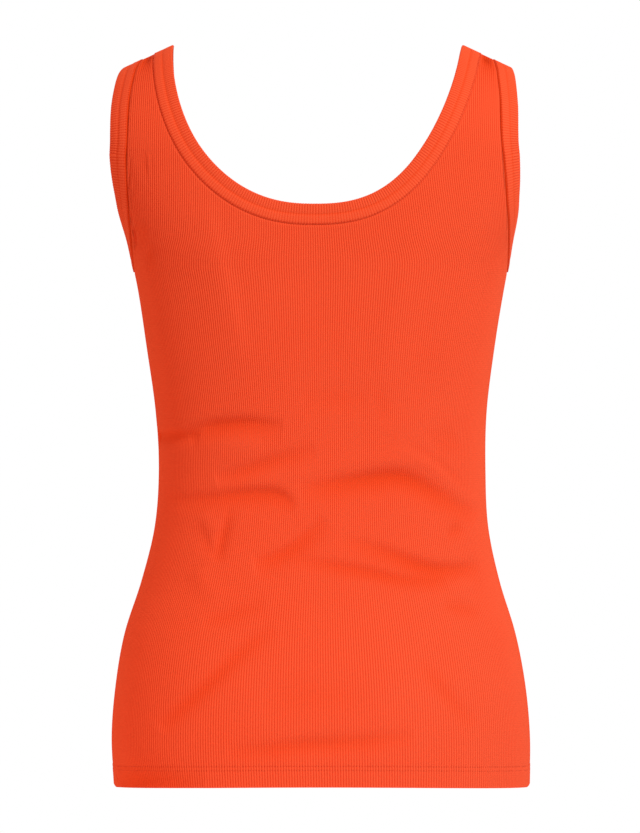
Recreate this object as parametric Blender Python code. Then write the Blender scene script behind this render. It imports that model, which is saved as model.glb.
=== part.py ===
"""Ribbed tank top in its worn form: a hollow garment, open at the neck, armholes and hem.

Metres, +Z up. The wearer faces +Y, so the back panel lies towards -Y and the wearer's right side
towards +X. The origin lies midway between the two straps, level with the underside of their middles.

Every piece lies on one smooth form. A point of it is named by its side (back or front), by "across",
the share of the way round from the centre line (0) to the side seam (1), and by "fall", the length of
cloth from the shoulder seam down to it. "Drop" is the straight depth below the top of the straps.
"""
import math
from functools import lru_cache

import bmesh
import bpy
import numpy as np
from mathutils import Vector
from mathutils.geometry import delaunay_2d_cdt

# ---------------------------------------------------------------- sizes of the garment
LENGTH = 0.622            # top of the straps to the hem, at the sides
HEM_RISE = 0.0032         # how much higher the hem is at the centre line than at the sides
HEM_RISE_START = 0.400    # the drop where that rise begins
CORNER_RISE = 0.0025      # the hem's own rise at the side seams
CORNER_START = 0.85       # the share of the half width where it begins
HEM_DEPTH = 0.015         # turned-up edge of the hem
HOLD_DROP = 0.012         # from the top of the straps down to the underside of their middles

SHOULDER_DROP = 0.095     # the cloth curves over the shoulder down to this drop, and is upright below
SHOULDER_FALL = SHOULDER_DROP * math.pi / 2
SHOULDER_SLOPE = 0.467    # the strap's top falls this much for each metre outwards
STRAP_TOP = 0.122         # distance of the strap's highest point from the centre line
HEM_FALL = SHOULDER_FALL + LENGTH - SHOULDER_DROP
ARMHOLE_FALL = 0.2455     # the armhole's lowest point, on the side seam

PANEL_WALL = 0.0016       # rib crest to plain inside
HEM_WALL = 0.0028         # the same where the hem is turned up
BINDING_WALL = 0.0024     # a folded band
BINDING_PROUD = 0.0004    # how far a binding stands over the panel's rib crests
BINDING_WIDTH = 0.0176
SEAM_GAP = 0.0003

# ---------------------------------------------------------------- raised ribs
PANEL_RIBS = 48           # across one panel; the real cloth has 212, too fine for this many faces
RIB_HEIGHT = 0.0005
BINDING_RIB = 0.0108      # one rib and its groove along a binding
PLAIN_COLUMNS = 12        # columns of the plain inside, from the centre line to a side

# ---------------------------------------------------------------- the neck, nearly an ellipse seen square on
NECK_HALF_WIDTH = 0.1375
NECK_DROP = {"back": 0.1525, "front": 0.2050}
NECK_SQUARE_ACROSS = 2.39  # 2 for both is an ellipse: these make the sides straighter and the bottom fuller
NECK_SQUARE_DOWN = 1.74
NECK_LEAN = -0.0034       # the neck's bottom hangs this far to one side of the middle
NECK_LEAN_DROP = 0.130

# The worn form, a row for each level. Squareness 2 is an ellipse, and more is flatter with rounder sides.
# Gather is how much narrower the ribs run there than round the body below the armholes.
SECTION_COLUMNS = (
    "drop", "half_width", "centre", "back_depth", "front_depth", "back_square", "front_square", "gather")
SECTIONS = (
    (0.000, 0.2030, -0.0016, 0.094, 0.094, 3.0, 3.0, 0.740),
    (0.035, 0.1992, -0.0036, 0.098, 0.097, 3.0, 2.8, 0.753),
    (0.088, 0.1934, -0.0047, 0.101, 0.104, 3.1, 2.6, 0.770),
    (0.130, 0.1766, -0.0023, 0.102, 0.114, 3.3, 2.5, 0.828),
    (0.160, 0.1635, -0.0003, 0.100, 0.118, 3.4, 2.4, 0.902),
    (0.189, 0.1568, 0.0006, 0.097, 0.119, 3.1, 2.4, 1.000),
    (0.256, 0.1457, 0.0005, 0.090, 0.111, 2.7, 2.3, 1.000),
    (0.310, 0.1388, 0.0010, 0.085, 0.101, 2.5, 2.2, 1.000),
    (0.357, 0.1372, 0.0018, 0.084, 0.096, 2.4, 2.2, 1.000),
    (0.405, 0.1402, 0.0012, 0.089, 0.096, 2.4, 2.2, 1.000),
    (0.450, 0.1504, 0.0004, 0.099, 0.099, 2.3, 2.2, 1.000),
    (0.495, 0.1642, 0.0000, 0.111, 0.102, 2.3, 2.2, 1.000),
    (0.540, 0.1722, 0.0004, 0.119, 0.104, 2.3, 2.2, 1.000),
    (0.585, 0.1757, 0.0007, 0.120, 0.104, 2.3, 2.2, 1.000),
    (0.622, 0.1745, 0.0015, 0.118, 0.104, 2.3, 2.2, 1.000),
)

# The armhole's seam, from the shoulder seam down and round to the side seam. Columns: fall, across.
ARMHOLES = {
    "back": (
        (0.000, 0.580), (0.043, 0.599), (0.085, 0.614), (0.139, 0.629), (0.183, 0.682),
        (0.205, 0.736), (0.222, 0.797), (0.235, 0.853), (0.2430, 0.908), (ARMHOLE_FALL, 1.000)),
    "front": (
        (0.000, 0.580), (0.043, 0.591), (0.085, 0.598), (0.125, 0.612), (0.160, 0.638),
        (0.190, 0.684), (0.213, 0.741), (0.230, 0.812), (0.2420, 0.902), (ARMHOLE_FALL, 1.000)),
}

# Levels of the panels' faces. Columns: the fall that a run of levels goes down to, and its steps' size.
ROWS = {
    "back": ((SHOULDER_FALL, 0.0187), (0.350, 0.0280), (0.520, 0.0155), (HEM_FALL - HEM_DEPTH, 0.0290)),
    "front": ((SHOULDER_FALL, 0.0187), (0.360, 0.0300), (0.520, 0.0230), (HEM_FALL - HEM_DEPTH, 0.0350)),
}

# The largest folds. x is measured from the middle, bow bends the line up (plus) or down, height is
# outwards (plus) or inwards, and reach is how far the fold spreads to each side of its line.
FOLD_COLUMNS = ("side", "x_start", "drop_start", "x_end", "drop_end", "bow", "height", "reach")
FOLDS = (
    ("back", -0.130, 0.328, -0.043, 0.311, 0.003, -0.0022, 0.010),
    ("back", -0.112, 0.305, -0.040, 0.297, 0.003, 0.0014, 0.010),
    ("back", -0.088, 0.358, -0.008, 0.335, 0.002, -0.0016, 0.010),
    ("back", -0.126, 0.373, -0.023, 0.384, 0.010, -0.0018, 0.010),
    ("back", -0.008, 0.366, 0.128, 0.385, 0.017, -0.0032, 0.011),
    ("back", 0.052, 0.331, 0.122, 0.365, 0.004, 0.0022, 0.010),
    ("back", 0.017, 0.411, 0.134, 0.437, 0.004, -0.0022, 0.011),
    ("back", -0.008, 0.428, 0.097, 0.447, 0.002, -0.0012, 0.010),
    ("back", -0.076, 0.392, -0.097, 0.422, -0.012, -0.0020, 0.009),
    ("back", -0.042, 0.420, 0.004, 0.394, 0.003, -0.0013, 0.010),
    ("back", -0.118, 0.556, -0.038, 0.482, 0.010, -0.0016, 0.013),
    ("back", 0.063, 0.499, 0.122, 0.562, 0.008, -0.0016, 0.013),
    ("back", -0.063, 0.588, 0.071, 0.574, -0.004, -0.0012, 0.014),
    ("front", -0.118, 0.340, -0.012, 0.362, -0.008, -0.0020, 0.013),
    ("front", 0.008, 0.352, 0.124, 0.326, -0.006, -0.0022, 0.013),
    ("front", -0.100, 0.398, 0.030, 0.405, 0.010, -0.0018, 0.014),
    ("front", 0.050, 0.420, 0.130, 0.392, -0.006, -0.0018, 0.014),
    ("front", -0.120, 0.540, -0.045, 0.475, 0.008, -0.0015, 0.015),
)
FOLD_POINTS = 13
FOLD_CLEAR = 0.10         # the folds die out over this share of the way to the side seam

BINDING_STEPS = 4         # steps of the walk that carries a binding's width over the form
PROBE = 0.0005            # share and length for measuring slopes on the form
CLOTH_ROUGHNESS = 0.9
OTHER = {"back": "front", "front": "back"}
FACING = {"back": -1.0, "front": 1.0}


# ---------------------------------------------------------------- the form
def column(name):
    """One column of the table of sections."""
    at = SECTION_COLUMNS.index(name)
    return np.array([row[at] for row in SECTIONS])


LEVELS = column("drop")
VALUES = {name: column(name) for name in SECTION_COLUMNS}
SLOPES = {name: np.gradient(VALUES[name], LEVELS) for name in SECTION_COLUMNS}
QUARTER_TURN = np.linspace(0.0, math.pi / 2, 361)


def size_at(name, drop):
    """A size of the section table at any drop, on a smooth curve through its rows."""
    drop = min(max(drop, LEVELS[0]), LEVELS[-1])
    row = min(max(int(np.searchsorted(LEVELS, drop)) - 1, 0), len(LEVELS) - 2)
    gap = LEVELS[row + 1] - LEVELS[row]
    t = (drop - LEVELS[row]) / gap
    low, high = VALUES[name][row:row + 2]
    low_slope, high_slope = SLOPES[name][row:row + 2] * gap
    return ((2 * t**3 - 3 * t**2 + 1) * low + (t**3 - 2 * t**2 + t) * low_slope
            + (3 * t**2 - 2 * t**3) * high + (t**3 - t**2) * high_slope)


@lru_cache(maxsize=None)
def quarter_section(side, drop):
    """Length round, half width and depth along a quarter of one level, from the centre line out."""
    power = 2.0 / size_at(side + "_square", drop)
    wide = size_at("half_width", drop) * np.sin(QUARTER_TURN)**power
    deep = size_at(side + "_depth", drop) * np.cos(QUARTER_TURN)**power
    deep[-1] = 0.0
    round_it = np.concatenate(([0.0], np.cumsum(np.hypot(np.diff(wide), np.diff(deep)))))
    return round_it, wide, deep


def level_of(fall):
    """The section's drop for a fall."""
    if fall < SHOULDER_FALL:
        return fall * SHOULDER_DROP / SHOULDER_FALL
    return SHOULDER_DROP + fall - SHOULDER_FALL


def strap_top(x):
    """Drop of the strap's top at a distance from the centre line."""
    return SHOULDER_SLOPE * (x - STRAP_TOP)


def ease(share):
    """A soft step from 0 to 1."""
    share = min(max(share, 0.0), 1.0)
    return share * share * (3.0 - 2.0 * share)


def spot(side, across, fall):
    """The form's point. Past the shoulder seam or the side seam it goes on over the other side."""
    if fall < 0.0:
        side, fall = OTHER[side], -fall
    if abs(across) > 1.0:
        side, across = OTHER[side], math.copysign(2.0 - abs(across), across)
    level = level_of(fall)
    round_it, wide, deep = quarter_section(side, round(level, 7))
    along = abs(across) * round_it[-1]
    x = float(np.interp(along, round_it, wide))
    y = float(np.interp(along, round_it, deep))
    drop = level
    if fall < SHOULDER_FALL:
        turn = math.pi / 2 * fall / SHOULDER_FALL
        drop = SHOULDER_DROP - (SHOULDER_DROP - strap_top(x)) * math.cos(turn)
        y *= math.sin(turn)
    out = x / size_at("half_width", level)
    rise = HEM_RISE * (1.0 - out**2) + CORNER_RISE * max((out - CORNER_START) / (1.0 - CORNER_START), 0.0)**2
    drop -= rise * ease((level - HEM_RISE_START) / (LENGTH - HEM_RISE_START))
    return np.array((size_at("centre", level) + math.copysign(x, across), FACING[side] * y, HOLD_DROP - drop))


def slopes_at(side, across, fall):
    """How the form's point moves for a change of across and of fall, and the outward normal."""
    by_across = (spot(side, across + PROBE, fall) - spot(side, across - PROBE, fall)) / (2 * PROBE)
    by_fall = (spot(side, across, fall + PROBE) - spot(side, across, fall - PROBE)) / (2 * PROBE)
    normal = FACING[side] * np.cross(by_across, by_fall)
    return by_across, by_fall, normal / np.linalg.norm(normal)


# ---------------------------------------------------------------- folds
def fold_line(fold):
    """Points along a fold, as x and drop."""
    row = dict(zip(FOLD_COLUMNS, fold))
    start = np.array((row["x_start"], row["drop_start"]))
    end = np.array((row["x_end"], row["drop_end"]))
    t = np.linspace(0.0, 1.0, FOLD_POINTS)[:, None]
    line = start + (end - start) * t
    line[:, 1] -= row["bow"] * 4.0 * t[:, 0] * (1.0 - t[:, 0])
    return line


FOLD_LINES = [fold_line(fold) for fold in FOLDS]


def fold_height(side, across, point):
    """How far the folds lift (plus) or press in (minus) the cloth at a point."""
    here = np.array((point[0], HOLD_DROP - point[2]))
    total = 0.0
    for fold, line in zip(FOLDS, FOLD_LINES):
        row = dict(zip(FOLD_COLUMNS, fold))
        if row["side"] != side:
            continue
        runs = line[1:] - line[:-1]
        shares = np.sum((here - line[:-1]) * runs, axis=1) / np.sum(runs * runs, axis=1)
        shares = np.clip(shares, 0.0, 1.0)
        gaps = np.linalg.norm(here - line[:-1] - runs * shares[:, None], axis=1)
        nearest = int(np.argmin(gaps))
        along = (nearest + shares[nearest]) / len(runs)
        taper = math.sqrt(max(math.sin(math.pi * along), 0.0))
        total += row["height"] * taper * math.exp(-(gaps[nearest] / row["reach"])**2)
    return total * ease((1.0 - abs(across)) / FOLD_CLEAR)


# ---------------------------------------------------------------- seams
def evenly(side, points, step, even_count=False):
    """Points of a line on the form, moved to equal steps of its real length."""
    places = np.array([spot(side, across, fall) for across, fall in points])
    lengths = np.concatenate(([0.0], np.cumsum(np.linalg.norm(np.diff(places, axis=0), axis=1))))
    count = max(round(lengths[-1] / step), 1)
    if even_count:
        count += count % 2
    wanted = np.linspace(0.0, lengths[-1], count + 1)
    points = np.array(points)
    return [(float(np.interp(at, lengths, points[:, 0])), float(np.interp(at, lengths, points[:, 1])))
            for at in wanted]


def across_of(side, x, fall):
    """The share round a level where the form is x from the centre line."""
    round_it, wide, _ = quarter_section(side, round(level_of(fall), 7))
    return float(np.interp(x, wide, round_it) / round_it[-1])


def neck_seam(side):
    """The neck's seam, from the +X shoulder seam down and up again to the -X one."""
    depth = NECK_DROP[side]
    half = []
    for fall in np.linspace(0.0, SHOULDER_FALL, 25):
        turn = math.pi / 2 * fall / SHOULDER_FALL
        x = NECK_HALF_WIDTH
        for _ in range(5):
            drop = SHOULDER_DROP - (SHOULDER_DROP - strap_top(x)) * math.cos(turn)
            x = NECK_HALF_WIDTH * (1.0 - (drop / depth)**NECK_SQUARE_DOWN)**(1.0 / NECK_SQUARE_ACROSS)
        half.append((x, drop, float(fall)))
    start = math.asin((SHOULDER_DROP / depth)**(NECK_SQUARE_DOWN / 2.0))
    for angle in np.linspace(start, math.pi / 2, 33)[1:]:
        x = NECK_HALF_WIDTH * max(math.cos(angle), 0.0)**(2.0 / NECK_SQUARE_ACROSS)
        drop = depth * math.sin(angle)**(2.0 / NECK_SQUARE_DOWN)
        half.append((x, drop, SHOULDER_FALL + drop - SHOULDER_DROP))
    points = []
    for x, drop, fall in half + [(-x, drop, fall) for x, drop, fall in reversed(half[:-1])]:
        x += NECK_LEAN * ease(drop / NECK_LEAN_DROP)
        points.append((math.copysign(across_of(side, abs(x), fall), x), fall))
    return evenly(side, points, BINDING_RIB / 2, even_count=True)


def armhole_seam(side):
    """The armhole's seam on the +X half, from the shoulder seam down to the side seam."""
    rows = np.array([(row[1], row[0]) for row in ARMHOLES[side]])
    before = rows[:1] * (1.0, -1.0) + (0.0, -0.04)
    after = (2.0, rows[-1, 1]) - rows[-2:-1] * (1.0, 0.0) - (0.0, rows[-1, 1] - rows[-2, 1])
    knots = np.concatenate((before, rows, after))
    points = []
    for first, low, high, last in zip(knots, knots[1:], knots[2:], knots[3:]):
        for t in np.linspace(0.0, 1.0, 9)[:-1]:
            points.append(tuple(0.5 * (2 * low + (high - first) * t
                                       + (2 * first - 5 * low + 4 * high - last) * t**2
                                       + (3 * low - first - 3 * high + last) * t**3)))
    points.append(tuple(rows[-1]))
    return evenly(side, points, BINDING_RIB / 2, even_count=True)


NECK_SEAMS = {side: neck_seam(side) for side in FACING}
ARMHOLE_SEAMS = {side: armhole_seam(side) for side in FACING}


# ---------------------------------------------------------------- panels
def panel_levels(side):
    """The falls of a panel's rows of faces, from the shoulder seam to the hem."""
    levels = [SEAM_GAP / 2]
    for to_fall, step in ROWS[side]:
        count = max(round((to_fall - levels[-1]) / step), 1)
        levels.extend(np.linspace(levels[-1], to_fall, count + 1)[1:])
    levels.append(HEM_FALL)
    return [float(level) for level in levels]


def rib_column(across, fall):
    """Place of a point among the ribs: whole even numbers are crests, odd ones are grooves."""
    return across * PANEL_RIBS / size_at("gather", level_of(fall))


def panel_outline(side, levels):
    """The panel's edge all round, as (across, fall, rib or seam)."""
    round_it = quarter_section(side, round(level_of(ARMHOLE_FALL), 7))[0][-1]
    seam = 1.0 - SEAM_GAP / 2 / round_it
    armhole = [(min(across, seam), max(fall, SEAM_GAP / 2), False) for across, fall in ARMHOLE_SEAMS[side]]
    neck = [(across, max(fall, SEAM_GAP / 2), False) for across, fall in NECK_SEAMS[side]]
    below = [level for level in levels if level > ARMHOLE_FALL + 0.004]
    side_seam = [(seam, level, False) for level in below[:-1]]
    inside_step = (seam, HEM_FALL - HEM_DEPTH + 0.001, False)
    side_seam.append(inside_step)
    right = armhole + side_seam
    left = [(-across, fall, rib) for across, fall, rib in reversed(right)]
    hem = [(max(min(column_at / PANEL_RIBS, seam), -seam), HEM_FALL, True)
           for column_at in range(PANEL_RIBS, -PANEL_RIBS - 1, -1)]
    return right + hem + left + neck[::-1]


def inside(points, ring):
    """Which points lie inside a ring, both on the plane."""
    x, y = points[:, 0], points[:, 1]
    hit = np.zeros(len(points), dtype=bool)
    for (x0, y0), (x1, y1) in zip(ring, np.roll(ring, -1, axis=0)):
        if y0 == y1:
            continue
        crosses = (y0 > y) != (y1 > y)
        hit ^= crosses & (x < (x1 - x0) * (y - y0) / (y1 - y0) + x0)
    return hit


def clear_of(points, ring, distance):
    """Which points are at least a distance from the ring's lines."""
    far = np.ones(len(points), dtype=bool)
    for start, end in zip(ring, np.roll(ring, -1, axis=0)):
        run = end - start
        share = np.clip((points - start) @ run / max(run @ run, 1e-12), 0.0, 1.0)
        far &= np.linalg.norm(points - start - share[:, None] * run, axis=1) >= distance
    return far


def fill(side, outline, levels, columns):
    """Faces between an outline and the crossings of the given columns and levels inside it."""
    step = columns[1] - columns[0]
    numbers = np.arange(len(levels))

    def on_plan(across, fall):
        return rib_column(across, fall) / step, float(np.interp(fall, levels, numbers))

    ring = np.array([on_plan(across, fall) for across, fall, _ in outline])
    crossings = []
    for level in levels:
        gather = size_at("gather", level_of(level))
        crossings.extend((place * gather / PANEL_RIBS, level, True) for place in columns)
    plan = np.array([on_plan(across, fall) for across, fall, _ in crossings])
    keep = inside(plan, ring) & clear_of(plan, ring, 0.42)
    spots = outline + [crossing for crossing, kept in zip(crossings, keep) if kept]
    flat = [Vector(point) for point in np.concatenate((ring, plan[keep]))]
    count = len(outline)
    edges = [(at, (at + 1) % count) for at in range(count)]
    _, _, faces, sources, _, _ = delaunay_2d_cdt(flat, edges, [], 1, 1e-7)
    return spots, [[sources[corner][0] for corner in face] for face in faces]


def panel_point(side, spot_at, outer):
    """A point of a panel's ribbed outside or of its plain inside."""
    across, fall, ribbed = spot_at
    point = spot(side, across, fall)
    normal = slopes_at(side, across, fall)[2]
    lift = fold_height(side, across, point)
    if outer:
        crest = round(rib_column(across, fall)) % 2 == 0
        share = (0.0 if crest else 1.0) if ribbed else 0.5
        return point + normal * (lift - RIB_HEIGHT * share)
    wall = HEM_WALL if fall > HEM_FALL - HEM_DEPTH + 0.0005 else PANEL_WALL
    return point + normal * (lift - wall)


def panel_mesh(side):
    """A closed wall: the ribbed outside, the plain inside and the cut edge between them."""
    levels = panel_levels(side)
    outline = panel_outline(side, levels)
    inner_levels = levels[:-1] + [HEM_FALL - HEM_DEPTH + 0.001, HEM_FALL]
    ribs = np.arange(-PANEL_RIBS, PANEL_RIBS + 1)
    plain = np.linspace(-PANEL_RIBS, PANEL_RIBS, 2 * PLAIN_COLUMNS + 1)
    model = bmesh.new()
    skins = []
    for outer, rows, columns in ((True, levels, ribs), (False, inner_levels, plain)):
        spots, faces = fill(side, outline, rows, columns)
        corners = [model.verts.new(panel_point(side, at, outer)) for at in spots]
        for face in faces:
            model.faces.new([corners[at] for at in face])
        skins.append(corners)
    for at in range(len(outline)):
        after = (at + 1) % len(outline)
        model.faces.new((skins[0][at], skins[0][after], skins[1][after], skins[1][at]))
    return model


# ---------------------------------------------------------------- bindings
def walk(side, across, fall, heading, width):
    """Points and normals passed on the way over the form, from a spot, in a heading."""
    passed = []
    step = width / BINDING_STEPS
    for _ in range(BINDING_STEPS):
        by_across, by_fall, normal = slopes_at(side, across, fall)
        heading = heading - normal * (heading @ normal)
        heading = heading / np.linalg.norm(heading)
        slopes = np.column_stack((by_across, by_fall))
        change = np.linalg.lstsq(slopes, heading * step, rcond=None)[0]
        across, fall = across + change[0], fall + change[1]
        passed.append((spot(side, across, fall), slopes_at(side, across, fall)[2]))
    return passed


def armhole_ring(sign):
    """One armhole's seam all round, as (side, across, fall): down the back and up the front."""
    back = [("back", sign * across, fall) for across, fall in ARMHOLE_SEAMS["back"]]
    front = [("front", sign * across, fall) for across, fall in ARMHOLE_SEAMS["front"]]
    return back[:-1] + front[:0:-1]


def neck_ring():
    """The neck's seam all round: over the back to the -X shoulder, and back over the front."""
    back = [("back", across, fall) for across, fall in NECK_SEAMS["back"]]
    front = [("front", across, fall) for across, fall in NECK_SEAMS["front"]]
    return back[:-1] + front[:0:-1]


def binding_mesh(ring, hand):
    """A ribbed band all round an opening, from its seam over the form into the opening.

    The opening lies to the left (1) or right (-1) of the ring's direction, seen from outside.
    """
    model = bmesh.new()
    bands = []
    places = [spot(*station) for station in ring]
    for number, station in enumerate(ring):
        side, across, fall = station
        along = places[(number + 1) % len(ring)] - places[number - 1]
        normal = slopes_at(side, across, fall)[2]
        heading = np.cross(normal, along)
        heading = heading / np.linalg.norm(heading) * hand
        groove = RIB_HEIGHT if number % 2 else 0.0
        seam = places[number] + heading * SEAM_GAP
        passed = walk(side, across, fall, heading, BINDING_WIDTH)
        middle, edge = passed[BINDING_STEPS // 2 - 1], passed[-1]
        inner = BINDING_PROUD - BINDING_WALL
        band = (
            seam + normal * (BINDING_PROUD - RIB_HEIGHT / 2),
            middle[0] + middle[1] * (BINDING_PROUD - groove),
            edge[0] + edge[1] * (BINDING_PROUD - groove),
            edge[0] + edge[1] * inner,
            seam + normal * inner,
        )
        bands.append([model.verts.new(point) for point in band])
    for number, band in enumerate(bands):
        after = bands[(number + 1) % len(bands)]
        for corner in range(len(band)):
            up = (corner + 1) % len(band)
            model.faces.new((band[corner], band[up], after[up], after[corner]))
    return model


# ---------------------------------------------------------------- objects
def cloth_material(name, colour):
    """Matt knitted cloth."""
    material = bpy.data.materials.new(name)
    material.use_nodes = True
    shader = material.node_tree.nodes["Principled BSDF"]
    shader.inputs["Base Color"].default_value = (*colour, 1.0)
    shader.inputs["Roughness"].default_value = CLOTH_ROUGHNESS
    shader.inputs["Metallic"].default_value = 0.0
    material.diffuse_color = (*colour, 1.0)
    return material


def add_piece(name, model, colour, parent):
    """Turn a finished model into a named object with its own material."""
    bmesh.ops.triangulate(model, faces=model.faces)
    bmesh.ops.recalc_face_normals(model, faces=model.faces)
    mesh = bpy.data.meshes.new(name)
    model.to_mesh(mesh)
    model.free()
    mesh.shade_smooth()
    mesh.set_sharp_from_angle(angle=math.radians(40))
    piece = bpy.data.objects.new(name, mesh)
    piece.data.materials.append(cloth_material(name + "_cloth", colour))
    piece.parent = parent
    bpy.context.scene.collection.objects.link(piece)
    print(name, len(mesh.polygons), "triangles")
    return piece


def main():
    for old in list(bpy.data.objects):
        bpy.data.objects.remove(old, do_unlink=True)
    garment = bpy.data.objects.new("tank_top", None)
    bpy.context.scene.collection.objects.link(garment)
    add_piece("back_panel", panel_mesh("back"), (0.86, 0.070, 0.028), garment)
    add_piece("front_panel", panel_mesh("front"), (0.84, 0.068, 0.027), garment)
    add_piece("neck_binding", binding_mesh(neck_ring(), -1), (0.82, 0.064, 0.025), garment)
    for name, hand in (("armhole_binding_right", 1), ("armhole_binding_left", -1)):
        add_piece(name, binding_mesh(armhole_ring(hand), hand), (0.82, 0.064, 0.025), garment)


main()
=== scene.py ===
# %% [markdown]
# # A ribbed tank top in its worn form
#
# The garment is seen from behind, filled out as if worn: two knitted panels and three folded bands
# round the neck and the armholes. A finished solid of each piece is already in the frame. This file
# makes the cloth that shows: every rib as a real ridge, the creases, the bands and the sewing.
#
# The frame comes first. Its size is kept, so that the finished model can be held against it.

# %% Load the frame
import math

import bpy
import numpy as np
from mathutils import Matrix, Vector
from mathutils.kdtree import KDTree


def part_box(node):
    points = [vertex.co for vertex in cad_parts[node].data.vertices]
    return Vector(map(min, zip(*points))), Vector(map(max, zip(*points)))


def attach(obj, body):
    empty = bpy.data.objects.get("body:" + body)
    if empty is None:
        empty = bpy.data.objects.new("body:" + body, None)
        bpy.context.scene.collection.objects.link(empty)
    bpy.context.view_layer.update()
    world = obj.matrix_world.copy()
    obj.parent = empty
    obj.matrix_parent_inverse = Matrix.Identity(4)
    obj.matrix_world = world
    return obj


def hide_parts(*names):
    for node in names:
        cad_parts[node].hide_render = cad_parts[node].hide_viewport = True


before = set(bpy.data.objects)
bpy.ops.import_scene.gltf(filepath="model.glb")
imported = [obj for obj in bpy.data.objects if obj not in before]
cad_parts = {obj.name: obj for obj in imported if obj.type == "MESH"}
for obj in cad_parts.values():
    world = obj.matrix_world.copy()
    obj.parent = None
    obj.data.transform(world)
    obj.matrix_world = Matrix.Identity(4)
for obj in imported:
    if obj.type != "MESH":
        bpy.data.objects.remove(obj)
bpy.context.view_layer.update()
bpy.ops.object.select_all(action="DESELECT")
for name in sorted(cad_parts):
    low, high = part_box(name)
    print(name, "is", [round(high[axis] - low[axis], 3) for axis in range(3)], "m")

# %% [markdown]
# ## The view
#
# The top is seen square on, from so far away that the straps and the hem keep their true
# proportions. The long lens follows from how much cloth one pixel shows at the garment's middle.

# %% Camera
PIXEL = 0.00084                 # metres of garment in one pixel of the picture
PICTURE = (640, 833)
CAMERA_AWAY = 8.0
HOLD_DROP = 0.012               # the origin is this far below the straps' highest point
STRAP_TOP_PIXEL = 45.5          # the picture's row where the straps end
SENSOR = 36.0


def add_object(name, data):
    """A new object in the scene."""
    added = bpy.data.objects.new(name, data)
    bpy.context.scene.collection.objects.link(added)
    return added


camera_data = bpy.data.cameras.new("view")
camera_data.sensor_width = SENSOR
camera_data.lens = SENSOR * CAMERA_AWAY / (PICTURE[1] * PIXEL)
camera_data.clip_end = 60.0
camera = add_object("view", camera_data)
camera_height = HOLD_DROP - (PICTURE[1] / 2 - STRAP_TOP_PIXEL) * PIXEL
camera.location = (0.0, -CAMERA_AWAY, camera_height)
camera.rotation_euler = (math.radians(90), 0.0, 0.0)
bpy.context.scene.camera = camera
print("lens", round(camera_data.lens), "mm at height", round(camera_height, 3), "m")

# %% [markdown]
# ## Floor and light
#
# The floor lies as far below as it would under somebody standing. The room is white and lights the
# cloth from all round. A big lamp high on the right shades the form, two weak ones near the floor
# lift the hem a little, and one on the far side lights the front. All but one have a cool tint,
# without which the lit side would be too red. The Standard view keeps a strong orange as it is.

# %% Floor, world and lamps
FLOOR_HEIGHT = -1.32
FLOOR_SIZE = 7.0
FLOOR_COLOUR = (0.85, 0.79, 0.76, 1.0)
ROOM_COLOUR = (1.0, 1.0, 1.0, 1.0)
ROOM_LIGHT = 1.0


def add_material(name, roughness, specular):
    """A new material, its tree of nodes and its shader."""
    material = bpy.data.materials.new(name)
    material.use_nodes = True
    shader = material.node_tree.nodes["Principled BSDF"]
    shader.inputs["Roughness"].default_value = roughness
    shader.inputs["Specular IOR Level"].default_value = specular
    return material, material.node_tree, shader


bpy.ops.mesh.primitive_plane_add(size=FLOOR_SIZE, location=(0.0, 0.0, FLOOR_HEIGHT))
floor = bpy.context.object
floor.name = "floor"
floor_finish, _, floor_shader = add_material("pale_floor", roughness=0.7, specular=0.5)
floor_shader.inputs["Base Color"].default_value = FLOOR_COLOUR
floor.data.materials.append(floor_finish)
bpy.ops.object.select_all(action="DESELECT")

bpy.context.scene.view_settings.view_transform = "Standard"
room = bpy.data.worlds.new("white_room")
room.use_nodes = True
room_shader = room.node_tree.nodes["Background"]
room_shader.inputs["Color"].default_value = ROOM_COLOUR
room_shader.inputs["Strength"].default_value = ROOM_LIGHT
bpy.context.scene.world = room


def add_lamp(name, place, aim, size, power, colour, spread):
    """A square lamp at a place, turned to shine at an aim."""
    lamp_data = bpy.data.lights.new(name, "AREA")
    lamp_data.size = size
    lamp_data.energy = power
    lamp_data.color = colour
    lamp_data.spread = math.radians(spread)
    lamp = add_object(name, lamp_data)
    lamp.location = place
    lamp.rotation_euler = (Vector(aim) - Vector(place)).to_track_quat("-Z", "Y").to_euler()
    print(name, power, "W,", size, "m wide")


MIDDLE = (0.0, 0.0, camera_height)
LAMPS = (                       # name, place, aim, size, watts, colour, spread
    ("lamp_right", (2.0, -2.5, 2.1), MIDDLE, 0.8, 46.0, (0.53, 1.0, 1.18), 90.0),
    ("lamp_low_right", (1.3, -1.2, -1.0), (0.14, 0.0, -0.52), 0.4, 0.85, (0.2, 1.0, 2.4), 50.0),
    ("lamp_low_left", (-0.9, -1.1, -1.1), (-0.08, 0.0, -0.6), 0.4, 0.48, (1.0, 1.0, 1.0), 50.0),
    ("lamp_front", (-0.7, 3.4, 1.3), MIDDLE, 0.8, 100.0, (0.4, 1.0, 1.15), 180.0),
)
for lamp_row in LAMPS:
    add_lamp(*lamp_row)

# %% [markdown]
# ## The worn form
#
# All the cloth lies on one smooth form, given by a short table: at each level, how wide it is, how
# deep behind and in front, and how square. A curve through the rows gives every level between them.
# Squareness 2 is an ellipse. The rows are the same as those of the solids, so that the cloth lies
# where they do. Only the hem's corners are rounded less. Gather says how much narrower the ribs run
# than they do round the body.

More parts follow.
